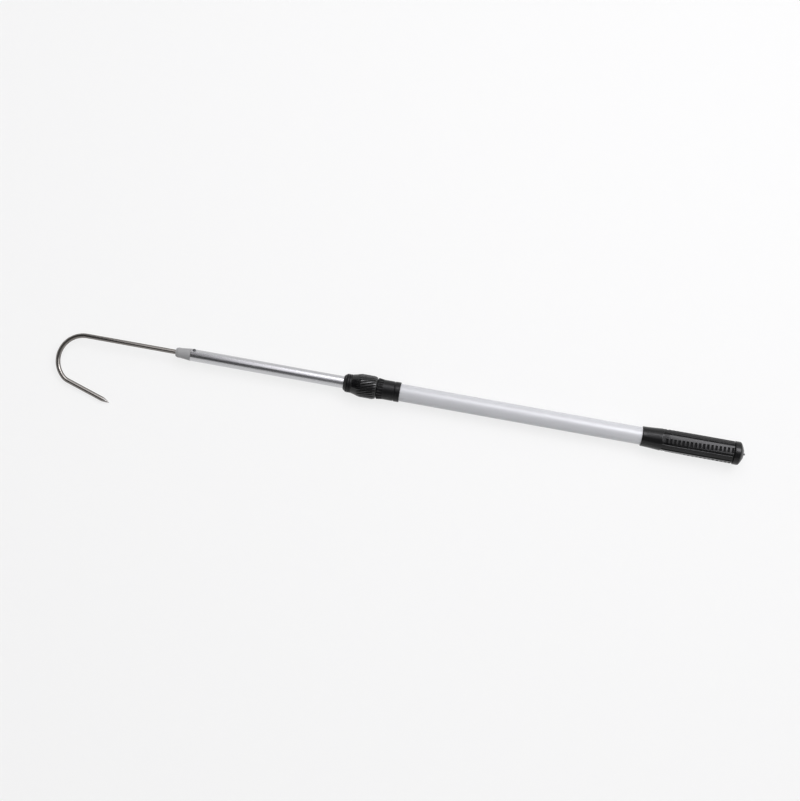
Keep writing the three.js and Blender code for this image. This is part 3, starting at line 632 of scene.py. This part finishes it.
def body_surface(x, angles):
    """Outside of the lock body: spigot, toothed front, plain barrel, groove and rear bead."""
    if x < collar_front:
        return spigot_surface(x, angles)
    along = x - collar_front
    edge = COLLAR["front_edge"]
    cone_share = min(1.0, max(0.0, (along - edge) / (COLLAR["cone"] - edge)))
    base = COLLAR["front_radius"] + (COLLAR["radius"] - COLLAR["front_radius"]) * cone_share
    base -= edge * float(smooth((edge - along) / edge))
    tooth_share = (along - edge) / COLLAR["tooth_length"]
    lift = np.zeros_like(angles)
    if 0 <= tooth_share <= 1:
        top = COLLAR["front_radius"] + COLLAR["tooth_height"]
        crest = top + (COLLAR["radius"] - top) * tooth_share
        slope = (crest - COLLAR["radius"] + COLLAR["groove_depth"]) / (COLLAR["tooth_width"] / 2)
        start = float(smooth(tooth_share / COLLAR["tooth_fade"]))
        lift = np.maximum(0.0, crest - slope * tooth_away(angles) - base) * start
    if collar_groove <= x <= bead_front:
        inside = min(x - collar_groove, bead_front - x)
        base -= COLLAR["groove_depth"] * float(smooth(inside / COLLAR["groove_fade"]))
    if x > bead_front:
        swell = float(smooth((x - bead_front) / COLLAR["bead_step"]))
        base += (COLLAR["bead_radius"] - COLLAR["radius"]) * swell
        rear = float(smooth((x - collar_rear + COLLAR["rear_edge"]) / COLLAR["rear_edge"]))
        base -= COLLAR["rear_cut"] * rear ** 2
    return base + lift


# The valleys between the teeth get painted shade, so the teeth stand out
def between_teeth(x, radius, angle):
    """True in the valleys between the teeth at the collar's front."""
    along = x - collar_front
    valley = COLLAR["tooth_width"] / 2 * (1 - TOOTH_SHADE["narrowing"] * along / COLLAR["tooth_length"])
    return (COLLAR["front_edge"] < along < COLLAR["tooth_length"] * TOOTH_SHADE["length"]
            and radius > COLLAR["radius"] and tooth_away(angle) > valley)


body_xs = np.concatenate([
    np.linspace(spigot_front, spigot_front + THREAD["nose_edge"], 4),
    np.arange(spigot_front + 0.8, collar_front - 0.2, THREAD["step"]),
    [collar_front - 0.02],
    collar_front + np.array([0.0, 0.1, 0.25, 0.45, 0.7, 0.9, 1.15]),
    np.linspace(collar_front + 1.6, collar_front + COLLAR["cone"], 18),
    np.linspace(collar_front + COLLAR["cone"] + 0.8, collar_groove - 0.05, 10),
    collar_groove + np.array([0.0, 0.15, 0.3, 0.42, 0.7, 0.98, 1.1, 1.25, 1.4]),
    bead_front + np.array([0.2, 0.45, 0.7, 0.9, 2.5, 4.5, 6.3]),
    collar_rear - np.array([0.6, 0.45, 0.3, 0.15, 0.05, 0.0]),
])
body_angles = np.arange(COLLAR["sides"]) * FULL_TURN / COLLAR["sides"]
body_bore = [
    (collar_rear, SOCKET),
    (collar_front + COLLAR["web"], SOCKET),
    (collar_front + COLLAR["web"], SLIDING_BORE),
    (spigot_front + COLLAR["seat_length"], SLIDING_BORE),
    (spigot_front, COLLAR["seat_mouth"]),
]
lock_body = sleeve("lock_collar", body_xs, body_angles, body_surface, body_bore, lock_black)
paint(lock_body, painted_shade_black, between_teeth)
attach(lock_body, "handle")
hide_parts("lock_body")

# ---------------------------------------------------------------- grip
grip_front, grip_rear = station("grip", 0), station("grip", 1)
panel_angle = FULL_TURN / PANELS
half_slot = GRIP["slot_length"] / 2
slots_front = grip_front + GRIP["first_slot"]
slots_rear = grip_rear - GRIP["last_slot"]
slot_pitch = (slots_rear - slots_front) / (GRIP["slots"] - 1)
groove_front = slots_front - half_slot - GRIP["groove_margin"]
groove_rear = grip_rear - GROOVE["rear_margin"]
step_front = slots_front - GRIP["step_before"]


def wound(x, turns):
    """Angle of the first panel's middle, which winds from the front slot to the rear one."""
    along = min(1.0, max(0.0, (x - slots_front) / (slots_rear - slots_front)))
    return math.pi / 2 - math.radians(turns[0] + (turns[1] - turns[0]) * along)


def slot_turn(x):
    return wound(x, SLOT_TURNS)


def share_of(angles, middle):
    """Part of a panel's width between an angle and the middle of its nearest panel."""
    return np.abs(((angles - middle) / panel_angle + 0.5) % 1.0 - 0.5)


def grip_surface(x, angles):
    """Tapered sleeve with four nearly flat panels, grooves beside them and a row of slots in each."""
    radius = GRIP["front_radius"] + (GRIP["radius"] - GRIP["front_radius"]) * float(
        smooth((x - grip_front) / GRIP["taper"]))
    side = share_of(angles, wound(x, PANEL_TURNS))
    flat_angle = GRIP["flat_share"] * panel_angle
    chord = math.cos(flat_angle) / np.cos(np.minimum(side * panel_angle, flat_angle))
    flat = radius * GRIP["flatness"] * (1 - chord) * float(smooth((x - step_front) / GRIP["step_length"]))

    fade = GROOVE["end_fade"]
    groove = (GRIP["groove_depth"] * band(side, GROOVE["low"], GROOVE["high"], GROOVE["side_fade"])
              * band(x, groove_front + fade, groove_rear - fade, fade))

    number = float(np.clip(np.round((x - slots_front) / slot_pitch), 0, GRIP["slots"] - 1))
    away = abs(x - slots_front - slot_pitch * number)
    pocket = 1 - float(smooth((away - half_slot + SLOT["inset"]) / SLOT["fade"]))
    slot_side = share_of(angles, slot_turn(x))
    slot = GRIP["slot_depth"] * pocket * (1 - smooth((slot_side - SLOT["share"]) / SLOT["share_fade"]))

    front = float(smooth((grip_front + GRIP["front_edge"] - x) / GRIP["front_edge"]))
    rear = float(smooth((x - grip_rear + GRIP["rear_edge"]) / GRIP["rear_edge"]))
    return radius - flat - groove - slot - GRIP["front_cut"] * front - GRIP["rear_cut"] * rear


# Slot floors and the grooves beside the panels get painted shade
def in_grip_recess(x, radius, angle):
    """True on the floor of a slot and in the grooves beside the panels."""
    side = float(share_of(angle, wound(x, PANEL_TURNS)))
    slot_away = abs((x - slots_front + slot_pitch / 2) % slot_pitch - slot_pitch / 2)
    in_rows = slots_front - slot_pitch / 2 < x < slots_rear + slot_pitch / 2
    in_slot = (slot_away < half_slot + SLOT_SHADE["over"]
               and float(share_of(angle, slot_turn(x))) < SLOT_SHADE["share"])
    in_groove = (groove_front + GROOVE_SHADE["end"] < x < groove_rear - GROOVE_SHADE["end"]
                 and GROOVE_SHADE["low"] < side < GROOVE_SHADE["high"])
    return radius > SHADE_RADIUS and (in_groove or (in_rows and in_slot))


# Stations along the grip, closer where the surface steps
grip_xs = list(grip_front + np.array([0.0, 0.1, 0.25, 0.4, 0.6]))
grip_xs += list(np.linspace(grip_front + 1.5, step_front - 0.3, 16))
grip_xs += list(np.linspace(step_front, step_front + GRIP["step_length"], 9))
grip_xs += list(groove_front + np.array([0.0, 0.2, 0.4, 0.6, 0.8, 1.0, 1.2, 1.8]))
slot_wall = (-0.13, -0.05, 0.03, 0.11, 0.2, 0.55)  # from half a slot's length outwards
for k in range(GRIP["slots"]):
    middle = slots_front + k * slot_pitch
    grip_xs += [middle - slot_pitch / 2 + 0.01]
    grip_xs += [middle + sign * (half_slot + out) for sign in (-1, 1) for out in slot_wall]
grip_xs += list(grip_rear - np.array([1.5, 0.5, 0.35, 0.2, 0.08, 0.0]))
grip_xs = np.array(sorted(set(np.round(grip_xs, 4))))

# Angles across a panel, as shares of its width from the slots' middle
half_shares = [0.03, 0.06, 0.09, 0.115, 0.134, 0.138, 0.142, 0.146, 0.15]
half_shares += list(np.arange(0.158, 0.495, 0.0095))
shares = [0.0, 0.5] + half_shares + [-share for share in half_shares]
grip_angles = np.array(sorted((k + share) * panel_angle for k in range(PANELS) for share in shares))
grip_bore = [(grip_rear, SOCKET), (grip_front, SOCKET)]
grip = sleeve("grip_ladder", grip_xs, grip_angles, grip_surface, grip_bore, grip_black, sharp=60.0,
              shift=slot_turn)
paint(grip, painted_shade_black, in_grip_recess)
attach(grip, "handle")
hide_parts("grip")

# ---------------------------------------------------------------- butt cap
cap_front = grip_rear + GAP
tube_end = station("lower_tube", 1)
flange_front = cap_front + CAP["neck_length"]
flange_rear = flange_front + CAP["flange_length"]
crown_end = flange_rear + CAP_CROWN[-1][0]
cap_outline = [
    (cap_front, 0.0),
    (cap_front, CAP["plug_bore"]),
    (tube_end - CAP["plug_length"], CAP["plug_bore"]),
    (tube_end - CAP["plug_length"], CAP["plug"]),
    (tube_end + GAP, CAP["plug"]),
    (tube_end + GAP, LOWER_TUBE["radius"]),
    (cap_front, LOWER_TUBE["radius"]),
    (cap_front, CAP["neck"]),
    (flange_front, CAP["neck"]),
    (flange_front, CAP["flange"]),
]
cap_outline += [(flange_rear + behind, radius) for behind, radius in CAP_CROWN]
cap_outline += [
    (crown_end, CAP["nib"]),
    (crown_end + CAP["nib_length"], CAP["nib"]),
    (crown_end + CAP["nib_length"], 0.0),
]


# The cap's neck, in the gap behind the grip, gets painted shade
def in_cap_neck(x, radius, angle):
    return cap_front < x < flange_front + CAP["shade_over"] and radius < CAP["shade"]


cap = lathe("butt_cap_moulded", cap_outline, grip_black, ease=CAP["ease"])
paint(cap, painted_shade_black, in_cap_neck)
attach(cap, "handle")
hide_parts("butt_cap")

# ---------------------------------------------------------------- hidden pieces keep their CAD shape
for node, material in (("hook_washer", zinc_steel), ("hook_lock_nut", zinc_steel), ("tail_pin", zinc_steel),
                       ("tail_plug", inner_black), ("guide_ring", white_nylon), ("front_bush", white_nylon)):
    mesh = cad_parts[node].data
    mesh.materials.clear()
    mesh.materials.append(material)

# ---------------------------------------------------------------- studio, in metres
FLOOR_COLOR = 0.94
GLOW = 0.905
GLOW_SHARE = 0.85
FLOOR = dict(flat=2.7, curve=0.5, wall_top=1.9, rings=(0.6, 1.4), curve_steps=12, sides=96)


def studio_material():
    """Pale floor that keeps part of the object's shadow and shows its own white to camera and metal."""
    material, tree, shader = new_material("studio_floor")
    nodes, links = tree.nodes, tree.links
    nodes.remove(shader)
    diffuse = nodes.new("ShaderNodeBsdfDiffuse")
    diffuse.inputs["Color"].default_value = (FLOOR_COLOR, FLOOR_COLOR, FLOOR_COLOR, 1)
    glow = nodes.new("ShaderNodeEmission")
    glow.inputs["Color"].default_value = (GLOW, GLOW, GLOW, 1)
    glow.inputs["Strength"].default_value = 1.0
    path = nodes.new("ShaderNodeLightPath")
    seen = nodes.new("ShaderNodeMath")
    seen.operation = "MAXIMUM"
    links.new(path.outputs["Is Camera Ray"], seen.inputs[0])
    links.new(path.outputs["Is Glossy Ray"], seen.inputs[1])
    either = nodes.new("ShaderNodeMath")
    either.operation = "MAXIMUM"
    links.new(seen.outputs["Value"], either.inputs[0])
    links.new(path.outputs["Is Transmission Ray"], either.inputs[1])
    share = nodes.new("ShaderNodeMath")
    share.operation = "MULTIPLY"
    share.inputs[1].default_value = GLOW_SHARE
    links.new(either.outputs["Value"], share.inputs[0])
    mix = nodes.new("ShaderNodeMixShader")
    links.new(share.outputs["Value"], mix.inputs["Fac"])
    links.new(diffuse.outputs["BSDF"], mix.inputs[1])
    links.new(glow.outputs["Emission"], mix.inputs[2])
    links.new(mix.outputs["Shader"], nodes["Material Output"].inputs["Surface"])
    return material


def cyclorama():
    """Round floor that curves up into a low wall on every side."""
    profile = [(0.0, radius) for radius in (0.0, *FLOOR["rings"], FLOOR["flat"])]
    for k in range(1, FLOOR["curve_steps"] + 1):
        turn = math.pi / 2 * k / FLOOR["curve_steps"]
        height = FLOOR["curve"] * (1 - math.cos(turn))
        profile.append((height, FLOOR["flat"] + FLOOR["curve"] * math.sin(turn)))
    profile.append((FLOOR["wall_top"], FLOOR["flat"] + FLOOR["curve"]))
    points, faces = turned(profile, FLOOR["sides"],
                           lambda height, radius, angle: (radius * math.cos(angle), radius * math.sin(angle),
                                                          height),
                           closed=False)
    mesh = bpy.data.meshes.new("studio_floor")
    mesh.from_pydata(points, [], faces)
    mesh.shade_smooth()
    mesh.materials.append(studio_material())
    floor = bpy.data.objects.new("studio_floor", mesh)
    bpy.context.scene.collection.objects.link(floor)


cyclorama()


def softbox(name, centre, toward, size, radiance, color=(1, 1, 1), glossy=True):
    """Area light whose face shows the given radiance."""
    light = bpy.data.lights.new(name, "AREA")
    light.shape = "RECTANGLE"
    light.size, light.size_y = size
    light.energy = radiance * math.pi * size[0] * size[1]
    light.color = color
    lamp = bpy.data.objects.new(name, light)
    lamp.location = centre
    lamp.rotation_mode = "QUATERNION"
    lamp.rotation_quaternion = (Vector(toward) - Vector(centre)).to_track_quat("-Z", "Y")
    lamp.visible_camera = False
    lamp.visible_glossy = glossy
    bpy.context.scene.collection.objects.link(lamp)


STRIP_DISTANCE = 1.6
STRIP_COLOR = (0.975, 0.965, 1.0)
# Parts of a long softbox beside the gaff: from x low to high, angle from straight above and half width
# in degrees, radiance
STRIPS = (
    ("softbox_tip", -0.76, -0.62, 31.0, 31.0, 1.2),
    ("softbox_end", -0.62, -0.5, 31.0, 31.0, 1.4),
    ("softbox_turn", -0.5, -0.36, 31.0, 31.0, 1.15),
    ("softbox_main", -0.36, 1.3, 29.0, 33.0, 0.78),
    ("softbox_middle", -0.42, 1.3, 34.0, 20.0, 0.6),
    ("softbox_core", -0.38, -0.2, 35.5, 9.0, 1.1),
    ("softbox_lock_core", -0.2, -0.1, 36.5, 8.0, 7.0),
    ("softbox_tube_core", -0.1, 0.3, 36.5, 8.0, 3.8),
    ("softbox_grip_front", 0.48, 0.57, 26.0, 13.0, 9.5),
    ("softbox_grip_core", 0.57, 1.3, 26.0, 13.0, 5.2),
)
for name, low, high, angle, half_angle, radiance in STRIPS:
    middle, turn = (low + high) / 2, math.radians(angle)
    width = 2 * STRIP_DISTANCE * math.tan(math.radians(half_angle))
    centre = (middle, STRIP_DISTANCE * math.sin(turn), STRIP_DISTANCE * math.cos(turn))
    softbox(name, centre, (middle, 0.0, 0.0), (high - low, width), radiance, STRIP_COLOR)
softbox("end_panel", (1.6, 0.4, 1.7), (-0.2, 0.0, 0.0), (1.2, 0.8), 2.6)
softbox("overhead_fill", (0.0, 0.0, 2.3), (0.0, 0.0, 0.0), (2.4, 2.4), 0.8, glossy=False)

# Grey of the room from the hook's side to the butt's: share of the way across, level
ROOM_LEVELS = ((0.0, 0.05), (0.27, 0.07), (0.31, 0.17), (0.4, 0.25), (0.5, 0.28), (1.0, 0.28))
ROOM_BLUE = 1.02


def studio_world():
    """Even grey room that darkens towards the hook's end."""
    world = bpy.data.worlds.new("studio")
    world.use_nodes = True
    nodes, links = world.node_tree.nodes, world.node_tree.links
    coordinates = nodes.new("ShaderNodeTexCoord")
    parts = nodes.new("ShaderNodeSeparateXYZ")
    across = nodes.new("ShaderNodeMapRange")
    across.inputs["From Min"].default_value = -0.5
    across.inputs["From Max"].default_value = 0.5
    ramp = nodes.new("ShaderNodeValToRGB")
    stops = ramp.color_ramp.elements
    for share, level in ROOM_LEVELS:
        stop = stops.new(share) if 0 < share < 1 else stops[0 if share == 0 else -1]
        stop.color = (level, level, level * ROOM_BLUE, 1)
    links.new(coordinates.outputs["Generated"], parts.inputs["Vector"])
    links.new(parts.outputs["X"], across.inputs["Value"])
    links.new(across.outputs["Result"], ramp.inputs["Fac"])
    links.new(ramp.outputs["Color"], nodes["Background"].inputs["Color"])
    bpy.context.scene.world = world


studio_world()

# ---------------------------------------------------------------- camera
CAMERA_PLACE = (0.0897522, -0.2724408, 1.9539498)
CAMERA_TURN = (0.156290, 0.016274, 0.183293)  # radians

camera_data = bpy.data.cameras.new("camera")
camera_data.sensor_fit = "HORIZONTAL"
camera_data.sensor_width = 36.0
camera_data.lens = 67.5
camera = bpy.data.objects.new("camera", camera_data)
camera.location = CAMERA_PLACE
camera.rotation_euler = Euler(CAMERA_TURN, "XYZ")
bpy.context.scene.collection.objects.link(camera)
bpy.context.scene.camera = camera
bpy.context.scene.view_settings.view_transform = "Standard"
